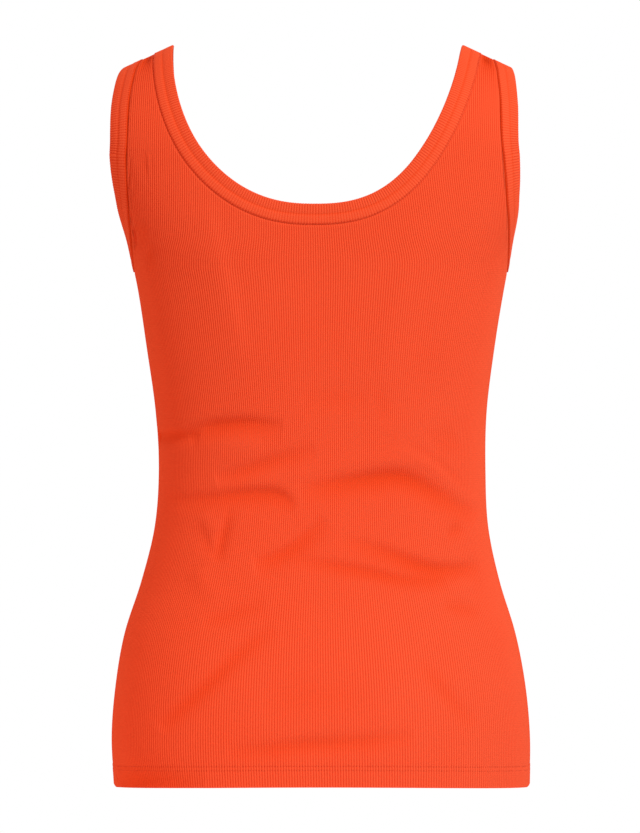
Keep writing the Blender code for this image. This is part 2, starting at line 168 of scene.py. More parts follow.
# %% Sizes of the garment
LENGTH = 0.622
HEM_RISE = 0.0032
HEM_RISE_START = 0.400
CORNER_RISE = 0.0030
CORNER_START = 0.98
SHOULDER_DROP = 0.095
SHOULDER_FALL = SHOULDER_DROP * math.pi / 2
SHOULDER_SLOPE = 0.467
STRAP_TOP = 0.122
HEM_FALL = SHOULDER_FALL + LENGTH - SHOULDER_DROP
ARMHOLE_FALL = 0.2455
NECK_HALF_WIDTH = 0.1375
NECK_DROP = (0.1525, 0.2050)    # behind, in front
NECK_SQUARE_ACROSS = 2.39
NECK_SQUARE_DOWN = 1.74
NECK_LEAN = -0.0034
NECK_LEAN_DROP = 0.130
SEAM_GAP = 0.0003

BACK, FRONT = 0, 1
SECTION_COLUMNS = ("drop", "half_width", "centre", "depth_0", "depth_1", "square_0", "square_1", "gather")
SECTIONS = (
    (0.000, 0.2030, -0.0016, 0.094, 0.094, 3.0, 3.0, 0.740),
    (0.035, 0.1992, -0.0036, 0.098, 0.097, 3.0, 2.8, 0.753),
    (0.088, 0.1934, -0.0047, 0.101, 0.104, 3.1, 2.6, 0.770),
    (0.130, 0.1766, -0.0023, 0.102, 0.114, 3.3, 2.5, 0.828),
    (0.160, 0.1635, -0.0003, 0.100, 0.118, 3.4, 2.4, 0.902),
    (0.189, 0.1568, 0.0006, 0.097, 0.119, 3.1, 2.4, 1.000),
    (0.256, 0.1457, 0.0005, 0.090, 0.111, 2.7, 2.3, 1.000),
    (0.310, 0.1388, 0.0010, 0.085, 0.101, 2.5, 2.2, 1.000),
    (0.357, 0.1372, 0.0018, 0.084, 0.096, 2.4, 2.2, 1.000),
    (0.405, 0.1402, 0.0012, 0.089, 0.096, 2.4, 2.2, 1.000),
    (0.450, 0.1504, 0.0004, 0.099, 0.099, 2.3, 2.2, 1.000),
    (0.495, 0.1642, 0.0000, 0.111, 0.102, 2.3, 2.2, 1.000),
    (0.540, 0.1722, 0.0004, 0.119, 0.104, 2.3, 2.2, 1.000),
    (0.585, 0.1757, 0.0007, 0.120, 0.104, 2.3, 2.2, 1.000),
    (0.622, 0.1745, 0.0015, 0.118, 0.104, 2.3, 2.2, 1.000),
)

# The armhole's seam: fall from the shoulder, and the share of the way round to the side seam.
ARMHOLES = (
    ((0.000, 0.580), (0.043, 0.599), (0.085, 0.614), (0.139, 0.629), (0.183, 0.682),
     (0.205, 0.736), (0.222, 0.797), (0.235, 0.853), (0.2430, 0.908), (ARMHOLE_FALL, 1.000)),
    ((0.000, 0.580), (0.043, 0.591), (0.085, 0.598), (0.125, 0.612), (0.160, 0.638),
     (0.190, 0.684), (0.213, 0.741), (0.230, 0.812), (0.2420, 0.902), (ARMHOLE_FALL, 1.000)),
)

TABLE = np.array(SECTIONS)
LEVELS = TABLE[:, 0]
RATES = np.array([np.gradient(TABLE[:, at], LEVELS) for at in range(TABLE.shape[1])]).T
RATES[TABLE[:, -1] == 1.0, -1] = 0.0    # below the armholes no rib is gathered


def size_at(name, drop):
    """A column of the table at any drops, on a smooth curve through its rows."""
    at = SECTION_COLUMNS.index(name)
    drop = np.clip(drop, LEVELS[0], LEVELS[-1])
    row = np.clip(np.searchsorted(LEVELS, drop) - 1, 0, len(LEVELS) - 2)
    gap = LEVELS[row + 1] - LEVELS[row]
    t = (drop - LEVELS[row]) / gap
    return ((2 * t**3 - 3 * t**2 + 1) * TABLE[row, at] + (t**3 - 2 * t**2 + t) * gap * RATES[row, at]
            + (3 * t**2 - 2 * t**3) * TABLE[row + 1, at] + (t**3 - t**2) * gap * RATES[row + 1, at])


def ease(share):
    """A soft step from 0 to 1."""
    share = np.clip(share, 0.0, 1.0)
    return share * share * (3.0 - 2.0 * share)


print("the form is", round(2 * size_at("half_width", 0.357), 3), "m wide at the waist")

# %% [markdown]
# To walk round a level in even steps, its curve has to be measured first. A lookup table does that
# once for every level: for each share of the way round it holds the turn of the curve that lies
# there. The turns tried are closest at both ends, where a squarish curve runs fastest. The point
# itself is then worked out from the curve's own formula, so it stays smooth.

# %% Points of the form
TURNS = math.pi / 2 * ease(np.linspace(0.0, 1.0, 1441))
TABLE_LEVELS = np.linspace(0.0, LENGTH, 313)
TABLE_SHARES = np.linspace(0.0, 1.0, 481)


def measured_turns(side):
    """For each level and share of the way round, the turn of the section's curve."""
    rows = []
    for drop in TABLE_LEVELS:
        power = 2.0 / size_at("square_%d" % side, drop)
        wide = size_at("half_width", drop) * np.sin(TURNS)**power
        deep = size_at("depth_%d" % side, drop) * np.cos(TURNS)**power
        round_it = np.concatenate(([0.0], np.cumsum(np.hypot(np.diff(wide), np.diff(deep)))))
        rows.append(np.interp(TABLE_SHARES * round_it[-1], round_it, TURNS))
    return np.array(rows)


TURN_TABLES = (measured_turns(BACK), measured_turns(FRONT))


def between(table, drop, share):
    """The table's value between its rows and columns."""
    row = np.clip(drop / LENGTH, 0.0, 1.0) * (len(TABLE_LEVELS) - 1)
    column = np.clip(share, 0.0, 1.0) * (len(TABLE_SHARES) - 1)
    i = np.minimum(row.astype(int), len(TABLE_LEVELS) - 2)
    j = np.minimum(column.astype(int), len(TABLE_SHARES) - 2)
    r, c = row - i, column - j
    top = table[i, j] * (1 - c) + table[i, j + 1] * c
    low = table[i + 1, j] * (1 - c) + table[i + 1, j + 1] * c
    return top * (1 - r) + low * r


def level_of(fall):
    """The straight drop of a section for a length of cloth from the shoulder."""
    return np.where(fall < SHOULDER_FALL, fall * SHOULDER_DROP / SHOULDER_FALL,
                    SHOULDER_DROP + fall - SHOULDER_FALL)


def strap_top(x):
    """Drop of the strap's top at a distance from the centre line."""
    return SHOULDER_SLOPE * (x - STRAP_TOP)


def form(side, across, fall):
    """Points of the form. Past the shoulder or the side seam they go on over the other side."""
    across, fall = np.broadcast_arrays(np.asarray(across, float), np.asarray(fall, float))
    side = np.broadcast_to(side, across.shape)
    side = np.where(fall < 0.0, 1 - side, side)
    fall = np.abs(fall)
    share = np.abs(across)
    side = np.where(share > 1.0, 1 - side, side)
    share = np.where(share > 1.0, 2.0 - share, share)
    level = level_of(fall)
    behind = side == BACK
    turn = np.where(behind, *(between(table, level, share) for table in TURN_TABLES))
    square = np.where(behind, size_at("square_0", level), size_at("square_1", level))
    depth = np.where(behind, size_at("depth_0", level), size_at("depth_1", level))
    half = size_at("half_width", level)
    x = half * np.sin(turn)**(2.0 / square)
    y = depth * np.maximum(np.cos(turn), 0.0)**(2.0 / square)
    over = math.pi / 2 * np.minimum(fall / SHOULDER_FALL, 1.0)
    drop = np.where(fall < SHOULDER_FALL,
                    SHOULDER_DROP - (SHOULDER_DROP - strap_top(x)) * np.cos(over), level)
    y = y * np.sin(over)
    out = x / half
    corner = np.maximum((out - CORNER_START) / (1.0 - CORNER_START), 0.0)
    rise = HEM_RISE * (1.0 - out**2) + CORNER_RISE * corner**2
    drop = drop - rise * ease((level - HEM_RISE_START) / (LENGTH - HEM_RISE_START))
    x = size_at("centre", level) + np.where(across < 0.0, -x, x)
    return np.stack((x, np.where(behind, -y, y), HOLD_DROP - drop), axis=-1)


PROBE = 0.0005


def slopes(side, across, fall):
    """Change of the form's point with across and with fall, and the outward normal."""
    by_across = (form(side, across + PROBE, fall) - form(side, across - PROBE, fall)) / (2 * PROBE)
    by_fall = (form(side, across, fall + PROBE) - form(side, across, fall - PROBE)) / (2 * PROBE)
    normal = np.cross(by_across, by_fall)
    facing = np.where(np.broadcast_to(side, np.shape(across)) == BACK, -1.0, 1.0)
    normal *= facing[..., None] / np.linalg.norm(normal, axis=-1, keepdims=True)
    return by_across, by_fall, normal


print("shoulder point", form(BACK, np.array([0.56]), np.array([0.0]))[0].round(3))

# %% [markdown]
# ## Creases
#
# Thin knit that is stretched round a body lies smooth, and only where the waist draws in does it
# pile up into short creases. The cloth above hangs over each a little, so its upper side is steep
# and its lower side runs out slowly. Each is one row here: how far it presses in or stands out, how
# far it spreads above and below, where along it it is strongest, and the dots that it runs through,
# in millimetres from the middle and below the straps' top. They are placed one by one and differ in
# length, depth and spacing. The front isn't seen in the picture and has creases of the same kind.

# %% Table of creases
BACK_CREASES = (
    # the waist, left of the middle
    (-3.6, 5, 7, 0.40, ((-142, 329), (-130, 328), (-115, 327), (-101, 329))),
    (-4.0, 5, 12, 0.55, ((-112, 325), (-97, 321), (-82, 318), (-59, 317), (-31, 320))),
    (0.6, 9, 12, 0.55, ((-101, 338), (-75, 335), (-48, 334))),
    (-3.0, 6, 9, 0.45, ((-87, 364), (-67, 358), (-49, 352), (-29, 346), (-4, 339))),
    (0.7, 9, 6, 0.60, ((-118, 369), (-76, 366), (-42, 361), (-8, 356))),
    (-4.0, 5, 11, 0.60, ((-131, 380), (-109, 381), (-88, 379), (-67, 376), (-48, 375), (-36, 376),
                         (-28, 381), (-22, 390))),
    (1.1, 7, 7, 0.50, ((-99, 391), (-93, 400), (-89, 408))),
    (-2.4, 4, 6, 0.60, ((-74, 388), (-79, 402), (-83, 416), (-86, 434))),
    (-1.0, 4, 7, 0.55, ((-101, 400), (-96, 414), (-87, 430))),
    (-3.4, 5, 10, 0.42, ((-56, 434), (-38, 428), (-23, 420), (-10, 410), (3, 396))),
    (1.5, 9, 9, 0.35, ((-101, 438), (-96, 450), (-84, 466))),
    # the waist, right of the middle
    (-0.8, 6, 6, 0.50, ((50, 290), (51, 302), (52, 316))),
    (-1.0, 8, 10, 0.50, ((-15, 302), (12, 298), (41, 296))),
    (0.9, 8, 5, 0.55, ((-8, 356), (25, 350), (59, 348), (88, 352), (109, 362))),
    (-5.0, 6, 12, 0.50, ((-18, 373), (4, 369), (21, 366), (42, 363), (60, 361), (76, 364), (94, 373),
                         (113, 385), (132, 395))),
    (0.7, 5, 4, 0.60, ((60, 336), (80, 346), (101, 359), (125, 381))),
    (-1.2, 4, 4, 0.60, ((71, 334), (97, 349), (122, 372))),
    (-1.0, 12, 12, 0.50, ((94, 340), (115, 328))),
    (-1.8, 5, 6, 0.50, ((105, 410), (120, 403))),
    (-4.6, 5, 10, 0.64, ((13, 411), (34, 418), (55, 424), (76, 432), (94, 437), (113, 438),
                         (134, 437))),
    (-3.6, 5, 7, 0.50, ((-22, 430), (8, 435), (38, 440), (63, 446), (88, 449), (107, 448))),
    # the hip and the hem
    (-1.8, 5, 7, 0.50, ((-98, 482), (-76, 477), (-46, 466))),
    (-2.0, 5, 6, 0.50, ((102, 467), (118, 471), (134, 475))),
    (1.6, 7, 7, 0.50, ((112, 448), (124, 458))),
    (-3.2, 6, 8, 0.36, ((-134, 570), (-113, 551), (-97, 537), (-76, 516), (-55, 498), (-37, 489))),
    (-1.7, 6, 7, 0.50, ((82, 515), (97, 533), (113, 552), (127, 570))),
    (-3.0, 6, 8, 0.50, ((-78, 590), (-46, 588), (-17, 584), (17, 582), (50, 580), (79, 576))),
    (-1.2, 12, 14, 0.50, ((-49, 549), (-8, 544), (42, 541))),
    (-3.4, 13, 10, 0.36, ((-170, 617), (-150, 617), (-128, 618), (-96, 620))),
    # soft ones that hang from the shoulder blades
    (1.7, 8, 22, 0.50, ((-97, 134), (-91, 158), (-80, 200), (-70, 240), (-66, 266))),
    (1.8, 12, 14, 0.50, ((84, 150), (78, 176), (67, 212), (56, 252), (48, 296))),
    # short ones that the armhole's seam draws in
    (-2.0, 3, 4, 0.35, ((-160, 118), (-156, 110), (-150, 105), (-138, 102))),
    (-2.0, 3, 4, 0.35, ((-160, 148), (-156, 141), (-147, 137))),
    (-2.2, 3, 4, 0.35, ((-156, 168), (-152, 162), (-142, 158))),
    (-2.0, 3, 4, 0.40, ((-152, 186), (-145, 180), (-133, 174))),
)
FRONT_CREASES = (
    (-3.2, 5, 8, 0.45, ((-124, 340), (-92, 350), (-55, 358), (-14, 362))),
    (-4.0, 5, 9, 0.55, ((6, 355), (48, 351), (88, 342), (128, 326))),
    (-2.8, 5, 8, 0.50, ((-104, 402), (-60, 395), (-12, 398), (32, 408))),
    (-3.0, 5, 8, 0.60, ((48, 425), (80, 419), (108, 409), (132, 395))),
    (1.0, 8, 7, 0.50, ((-70, 376), (-20, 378), (36, 372))),
    (-2.2, 9, 9, 0.40, ((-124, 552), (-92, 524), (-60, 494), (-42, 480))),
    (-2.0, 8, 8, 0.50, ((-30, 564), (20, 570), (70, 564))),
    (-1.4, 4, 4, 0.40, ((-150, 174), (-141, 167), (-130, 164))),
    (-1.4, 4, 4, 0.40, ((154, 154), (145, 148), (135, 145))),
)
CREASES = (BACK_CREASES, FRONT_CREASES)
CREASE_CLEAR = 0.03


def through(dots, steps):
    """A smooth line through dots, each two of them joined by so many steps. The end dots only aim it."""
    line = []
    for first, low, high, last in zip(dots, dots[1:], dots[2:], dots[3:]):
        for t in np.linspace(0.0, 1.0, steps + 1)[:-1]:
            line.append(0.5 * (2 * low + (high - first) * t
                               + (2 * first - 5 * low + 4 * high - last) * t**2
                               + (3 * low - first - 3 * high + last) * t**3))
    line.append(dots[-2])
    return np.array(line)


def crease_height(side, across, points):
    """How far the creases lift (plus) or press in (minus) the cloth at each point."""
    here = np.stack((points[..., 0], HOLD_DROP - points[..., 2]), axis=-1)
    total = np.zeros(here.shape[:-1])
    for height, above, below, strongest, dots in CREASES[side]:
        dots = np.array(dots) * 0.001
        line = through(np.concatenate((2 * dots[:1] - dots[1:2], dots, 2 * dots[-1:] - dots[-2:-1])), 4)
        best = np.full(total.shape, 9.0)
        along = np.zeros(total.shape)
        under = np.zeros(total.shape)
        turn = 1.0 if line[-1, 0] > line[0, 0] else -1.0
        for number, (start, end) in enumerate(zip(line, line[1:])):
            run = end - start
            reached = here - start
            share = np.clip((reached @ run) / (run @ run), 0.0, 1.0)
            gap = np.linalg.norm(reached - share[..., None] * run, axis=-1)
            nearer = gap < best
            best = np.where(nearer, gap, best)
            along = np.where(nearer, (number + share) / (len(line) - 1), along)
            under = np.where(nearer, turn * (run[0] * reached[..., 1] - run[1] * reached[..., 0]), under)
        reach = 0.001 * np.where(under > 0.0, below, above)
        taper = np.sin(math.pi * along**(math.log(0.5) / math.log(strongest)))
        total += 0.001 * height * np.maximum(taper, 0.0)**0.6 * np.exp(-(best / reach)**2)
    return total * ease((1.0 - np.abs(across)) / CREASE_CLEAR)


print(len(BACK_CREASES), "creases behind and", len(FRONT_CREASES), "in front")

# %% [markdown]
# ## The seams' lines
#
# The neck's seam is nearly an ellipse seen square on, and deeper in front. The armhole's seam is a
# curve through the rows of its table. The panels and the bands both start from these two lines, so
# they meet with only a hair's breadth between.

# %% Neck and armhole lines


def across_of(side, x, fall):
    """The share round a level where the form is x from the centre line."""
    points = form(side, TABLE_SHARES, np.full(len(TABLE_SHARES), fall))
    wide = points[:, 0] - size_at("centre", level_of(np.array(fall)))
    return float(np.interp(x, wide, TABLE_SHARES))


def neck_line(side):
    """The neck's seam, from the +X shoulder down and up again to the other, as across and fall."""
    depth = NECK_DROP[side]
    half = []
    for fall in np.linspace(0.0, SHOULDER_FALL, 61):
        over = math.pi / 2 * fall / SHOULDER_FALL
        x = NECK_HALF_WIDTH
        for _ in range(6):
            drop = SHOULDER_DROP - (SHOULDER_DROP - strap_top(x)) * math.cos(over)
            x = NECK_HALF_WIDTH * (1.0 - (drop / depth)**NECK_SQUARE_DOWN)**(1.0 / NECK_SQUARE_ACROSS)
        half.append((x, drop, fall))
    start = math.asin((SHOULDER_DROP / depth)**(NECK_SQUARE_DOWN / 2.0))
    for angle in np.linspace(start, math.pi / 2, 81)[1:]:
        x = NECK_HALF_WIDTH * max(math.cos(angle), 0.0)**(2.0 / NECK_SQUARE_ACROSS)
        drop = depth * math.sin(angle)**(2.0 / NECK_SQUARE_DOWN)
        half.append((x, drop, SHOULDER_FALL + drop - SHOULDER_DROP))
    line = []
    for x, drop, fall in half + [(-x, drop, fall) for x, drop, fall in reversed(half[:-1])]:
        x += NECK_LEAN * ease(drop / NECK_LEAN_DROP)
        line.append((math.copysign(across_of(side, abs(x), fall), x), fall))
    return np.array(line)


def armhole_line(side):
    """The armhole's seam on the +X half, from the shoulder seam down to the side seam."""
    rows = np.array([(across, fall) for fall, across in ARMHOLES[side]])
    before = rows[:1] * (1.0, -1.0) + (0.0, -0.04)
    after = (2.0, rows[-1, 1]) - rows[-2:-1] * (1.0, 0.0) - (0.0, rows[-1, 1] - rows[-2, 1])
    return through(np.concatenate((before, rows, after)), 16)


NECK_LINES = (neck_line(BACK), neck_line(FRONT))
ARMHOLE_LINES = (armhole_line(BACK), armhole_line(FRONT))
print("the neck line has", len(NECK_LINES[BACK]), "points, an armhole line", len(ARMHOLE_LINES[BACK]))

# %% [markdown]
# ## A knitted panel
#
# Each panel is 212 ribs wide. Three columns of points make a rib, two on its flat top and one in
# the groove beside it, and smooth shading rounds it. The columns run down from the neck, the
# shoulder or the armhole to the hem, so the ribs bend with the body and are cut off cleanly by the
# bands. The inside is a plain wall with fewer faces, because nobody sees a groove there.
#
# Each point also gets its place in the knitting, as a UV map counted in ribs and in rows of stitches. The
# yarn's pattern can then follow the cloth wherever it bends. A second value is a share of painted shade:
# how much its colour is darkened where it lies in a crease or between the two bands at a strap's top,
# where little light gets in, and near a side seam, where the form turns away from the light. The bands use
# it for dark lines painted at their seams.

# %% Sizes of the cloth
RIBS = 106                      # from the centre line to a side seam
PER_RIB = 3                     # columns of points in a rib
RIB_HEIGHT = 0.00050
SIDE_RIB = 0.0020               # about one rib's width near a side seam
PANEL_WALL = 0.0016
HEM_WALL = 0.0028
HEM_DEPTH = 0.0160
HEM_STEP = 0.00028              # how far the turned-up hem stands out
HEM_NEEDLES = (0.0145, 0.0178)  # heights of the two needle lines over the hem's edge
NEEDLE_DIP = 0.00025            # how far a needle line presses the cloth in
NEEDLE_SOFT = 0.0007            # and how far that dip spreads in the hem
COURSE = 0.0016                 # one row of knitted stitches
EDGE_DIP = 0.0007               # how far a panel tucks in at a band
EDGE_REACH = 0.0012
SIDE_DIP, SIDE_REACH = 0.0006, 0.0011       # the furrow of a side seam
STRAP_HOLLOW, STRAP_REACH = 0.0032, 0.07    # how it sinks in between the two bands of a strap
TOP_EVEN = 0.022                # so near the shoulder seam, bands and panel become level
CREASE_FADE, HOLLOW_FADE, RIB_FADE, SHADE_FADE = 0.004, 0.006, 0.003, 0.002     # to nothing at a band
END_FADE = 0.002                # the ribs' own fade at the side and shoulder seams
DEEPEST = 0.005                 # a crease this deep gets all the shade of creases
# Shares of painted shade: darker colour painted into creases, at the straps' tops between the bands, and
# along the side seams.
CREASE_SHADE, STRAP_SHADE, SIDE_SHADE = 0.5, 0.6, 0.25
STRAP_SHADE_REACH, SIDE_SHADE_REACH = 0.09, 0.03
INSIDE_COLUMNS = 9              # one column of the inside for so many of the outside
INSIDE_ROWS = 2
UPPER_FALL = 0.262              # above this level the rows follow the neck and the armholes
CLOSED = 0.00001                # the two panels come this near to the shoulder seam


def spaced(low, high, count):
    """Even steps, without the first."""
    return list(np.linspace(low, high, count + 1)[1:])


UPPER_ROWS = np.linspace(0.0, 1.0, 25)**1.5
LOWER_ROWS = (spaced(UPPER_FALL, 0.350, 8) + spaced(0.350, 0.508, 66)
              + spaced(0.508, HEM_FALL - 0.021, 35) + spaced(HEM_FALL - 0.021, HEM_FALL, 12))
print(len(UPPER_ROWS) + len(LOWER_ROWS), "rows of points")

# %% Where each column of a panel starts


def top_of_columns(side, ribs):
    """For each place among the ribs, the fall where its column starts, and its kind of edge."""
    neck = NECK_LINES[side]
    arm = ARMHOLE_LINES[side]
    neck_ribs = neck[:, 0] * RIBS / size_at("gather", level_of(neck[:, 1]))
    arm_ribs = arm[:, 0] * RIBS / size_at("gather", level_of(arm[:, 1]))
    place = np.abs(ribs)
    falls = np.interp(ribs, neck_ribs[::-1], neck[::-1, 1])
    falls = np.where(place > neck_ribs[0], CLOSED, falls)
    falls = np.where(place >= arm_ribs[0], np.interp(place, arm_ribs, arm[:, 1]), falls)
    print("ribs at the shoulder", neck_ribs[0].round(1), "to", arm_ribs[0].round(1), "and both lines run",
          "one way:", bool(np.all(np.diff(arm_ribs) > 0) and np.all(np.diff(neck_ribs) < 0)))
    return np.maximum(falls, CLOSED)


def panel_grid(side):
    """Places of the panel's points: ribs and falls, one row after the other."""
    ribs = np.arange(-RIBS * PER_RIB, RIBS * PER_RIB + 1) / PER_RIB
    top = top_of_columns(side, ribs)
    rows = []
    for step in UPPER_ROWS:
        evenly = top + (UPPER_FALL - top) * step
        level = UPPER_FALL * ((top / UPPER_FALL)**3 * (1.0 - step**3) + step**3)**(1.0 / 3.0)
        rows.append(0.25 * evenly + 0.75 * level)
    rows += [np.full(len(ribs), fall) for fall in LOWER_ROWS]
    falls = np.array(rows)
    return np.broadcast_to(ribs, falls.shape), falls


# %% Lifting the ribs, creases and edges


def seam_distance(side, points, ribs):
    """Distance of each point from the neck's and armholes' seams, and from the side seam."""
    seams = []
    for line in (NECK_LINES[side], ARMHOLE_LINES[side], ARMHOLE_LINES[side] * (-1, 1)):
        steps = np.linspace(0.0, len(line) - 1.0, 10 * len(line))
        whole = np.arange(len(line))
        seams.append(form(side, np.interp(steps, whole, line[:, 0]), np.interp(steps, whole, line[:, 1])))
    seams = np.concatenate(seams)
    tree = KDTree(len(seams))
    for number, point in enumerate(seams):
        tree.insert(point, number)
    tree.balance()
    near = len(UPPER_ROWS) + 3
    from_seam = np.full(points.shape[:2], 1.0)
    found = [tree.find(point)[2] for point in points[:near].reshape(-1, 3)]
    from_seam[:near] = np.array(found).reshape(near, -1)
    return from_seam, (RIBS - np.abs(ribs)) * SIDE_RIB


def hem_lift(from_hem):
    """The turned-up hem stands out a little, and each needle line presses it in."""
    lift = HEM_STEP * ease((HEM_DEPTH + 0.001 - from_hem) / 0.0015)
    for needle in HEM_NEEDLES:
        lift = lift - NEEDLE_DIP * np.exp(-((from_hem - needle) / NEEDLE_SOFT)**2)
    return lift


def panel_surfaces(side):
    """Points of the ribbed outside and of the plain inside, and the knitting's places with the share of
    painted shade.
    """
    ribs, falls = panel_grid(side)
    gather = size_at("gather", level_of(falls))
    across = np.clip(ribs * gather / RIBS, -1.0, 1.0)
    points = form(side, across, falls)
    normals = slopes(side, across, falls)[2]
    creases = crease_height(side, across, points)
    from_seam, from_side = seam_distance(side, points, ribs)
    creases = creases * ease(from_seam / CREASE_FADE)
    sinks = ease(1.0 - falls / STRAP_REACH) * ease(from_seam / HOLLOW_FADE) * ease(falls / TOP_EVEN)
    creases -= STRAP_HOLLOW * sinks
    groove = (np.arange(ribs.shape[1]) % PER_RIB == 0)
    alive = ease(from_seam / RIB_FADE) * ease(from_side / END_FADE) * ease(falls / END_FADE)
    ridges = -RIB_HEIGHT * np.where(groove, alive, 0.0)
    dips = -EDGE_DIP * np.exp(-(from_seam / EDGE_REACH)**2) * ease(falls / TOP_EVEN)
    dips -= SIDE_DIP * np.exp(-(from_side / SIDE_REACH)**2)
    from_hem = HEM_FALL - falls
    outside = points + normals * (creases + ridges + dips + hem_lift(from_hem))[..., None]
    wall = np.where(from_hem < HEM_DEPTH, HEM_WALL, PANEL_WALL)
    inside = points + normals * (creases + 0.5 * dips - wall)[..., None]
    knit = np.stack((ribs + RIBS, falls / COURSE), axis=-1)
    # Painted shade: the colour is darkened in the creases, at the straps' tops and along the side seams.
    shade_share = CREASE_SHADE * np.clip(-creases / DEEPEST, 0.0, 1.0)
    shade_share += STRAP_SHADE * ease(1.0 - falls / STRAP_SHADE_REACH) * ease(from_seam / SHADE_FADE)
    shade_share += SIDE_SHADE * ease(1.0 - from_side / SIDE_SHADE_REACH)
    return outside, inside, np.concatenate((knit, shade_share[..., None]), axis=-1)


# %% [markdown]
# The outside and the inside are two grids of quads. Round the rim they are stitched together like
# the teeth of a zip: each edge of the coarse grid takes in a run of edges of the fine one. That
# closes the wall all round without any spare faces.

# %% Building a wall from two grids


def kept(count, step):
    """Every so many of a row of numbers, always with the last."""
    numbers = list(range(0, count - 1, step))
    return numbers + [count - 1]


def grid_faces(ids, flip):
    """Quads of a grid of vertex numbers."""
    a, b, c, d = ids[:-1, :-1], ids[:-1, 1:], ids[1:, 1:], ids[1:, :-1]
    quads = np.stack((a, b, c, d) if flip else (d, c, b, a), axis=-1)
    return quads.reshape(-1, 4).tolist()


def zip_faces(fine, coarse, kept_at, flip):
    """Faces between a fine run of vertices and a coarse one that starts and ends with it."""
    faces = []
    for number in range(len(coarse) - 1):
        first, last = kept_at[number], kept_at[number + 1]
        middle = (first + last + 1) // 2
        for at in range(first, last):
            corner = coarse[number] if at < middle else coarse[number + 1]
            faces.append((fine[at], fine[at + 1], corner))
        faces.append((fine[middle], coarse[number + 1], coarse[number]))
    return [face[::-1] for face in faces] if flip else faces


def wall_mesh(name, outside, inside, knit, flip):
    """A closed wall: a fine outside, an inside with fewer faces, and the rim between them."""
    rows, columns = outside.shape[:2]
    row_kept, column_kept = kept(rows, INSIDE_ROWS), kept(columns, INSIDE_COLUMNS)
    coarse = inside[np.ix_(row_kept, column_kept)]
    fine_ids = np.arange(rows * columns).reshape(rows, columns)
    coarse_ids = rows * columns + np.arange(coarse.shape[0] * coarse.shape[1]).reshape(coarse.shape[:2])
    faces = grid_faces(fine_ids, flip) + grid_faces(coarse_ids, not flip)
    faces += zip_faces(fine_ids[0], coarse_ids[0], column_kept, flip)
    faces += zip_faces(fine_ids[-1], coarse_ids[-1], column_kept, not flip)
    faces += zip_faces(fine_ids[:, 0], coarse_ids[:, 0], row_kept, not flip)
    faces += zip_faces(fine_ids[:, -1], coarse_ids[:, -1], row_kept, flip)
    points = np.concatenate((outside.reshape(-1, 3), coarse.reshape(-1, 3)))
    places = np.concatenate((knit.reshape(-1, 3), knit[np.ix_(row_kept, column_kept)].reshape(-1, 3)))
    return mesh_piece(name, points, faces, places)


def mesh_piece(name, points, faces, places):
    """A shaded object from points and faces. Places are two of the UV map and one of painted shade."""
    mesh = bpy.data.meshes.new(name)
    mesh.from_pydata(points.tolist(), [], faces)
    corners = np.empty(len(mesh.loops), dtype=np.int64)
    mesh.loops.foreach_get("vertex_index", corners)
    layer = mesh.uv_layers.new(name="Knit")
    layer.data.foreach_set("uv", places[corners, :2].astype(np.float32).ravel())
    # The share of painted shade, kept on each point.
    depth = mesh.attributes.new("Shade_Share", "FLOAT", "POINT")
    depth.data.foreach_set("value", places[:, 2].astype(np.float32))
    mesh.shade_smooth()
    mesh.set_sharp_from_angle(angle=math.radians(60))
    piece = add_object(name, mesh)
    mesh.calc_loop_triangles()
    print(name, len(mesh.loop_triangles), "triangles")
    return piece


back_panel = wall_mesh("back_panel_knit", *panel_surfaces(BACK), flip=False)
front_panel = wall_mesh("front_panel_knit", *panel_surfaces(FRONT), flip=True)

# %% [markdown]
# ## The bound edges
#
# Round the neck and each armhole runs a band of the same rib, folded in half and sewn on, with its
# ribs across it. Its seam edge rolls under, and a needle line presses it down there. Its free edge is
# a soft fold. Half way, a faint step shows where the cloth turned in under the band ends. The band
# is carried from the seam over the form in small steps, each one along the surface and square to
# the seam, so it curves as the shoulder does. A narrow edge inside closes the seam to light.

# %% A ring of even steps along a seam
BINDING_WIDTH = 0.0176
BINDING_WALL = 0.0024
BINDING_PROUD = 0.0004
BINDING_RIB = 0.0024            # one rib across the band
ROLL_DEPTH, ROLL_WIDTH = 0.0014, 0.0013     # how its seam edge rolls under
NEEDLE = 0.0014                 # needle line, from the seam
BAND_NEEDLE_SOFT = 0.0006
MID_LINE = 0.0076               # where the cloth turned in under the band ends
TURNED_IN, TURNED_SOFT = 0.0004, 0.0012     # height and width of that step
FURROW, FURROW_PAST, FURROW_WIDTH = 0.00062, 0.0008, 0.0008     # the dip just past the mid line
CROWN = 0.00025                 # how far the part beyond it swells
SEWN_RIBS, RIBS_GROW = 0.55, 0.002          # the ribs' height before the mid line, and their growth
FOLD_ANGLES = (60.0, 20.0, -20.0, -60.0)    # rows of points round the free edge
FOLD_STEP = 0.0005              # yarn from one of them to the next
FOLD_GROOVE = 0.16              # how much of the fold's radius a groove takes
UNDER_STEPS = (15, 11, 7, 3, 0)             # rows of the plain underside, from fold to seam
ALLOWANCE, ALLOWANCE_DROP = 0.0018, 0.0007  # the seam's own edge, under the panel
WALK_STEPS = 16
# Painted shade: a dark line painted along each band's seam, strong at the armholes and faint at the neck,
# and another just past the mid line.
MID_SHADE, MID_SHADE_WIDTH = 0.5, 0.0006
NECK_SEAM_SHADE, ARM_SEAM_SHADE, SEAM_SHADE_WIDTH = 0.1, 0.9, 0.0010


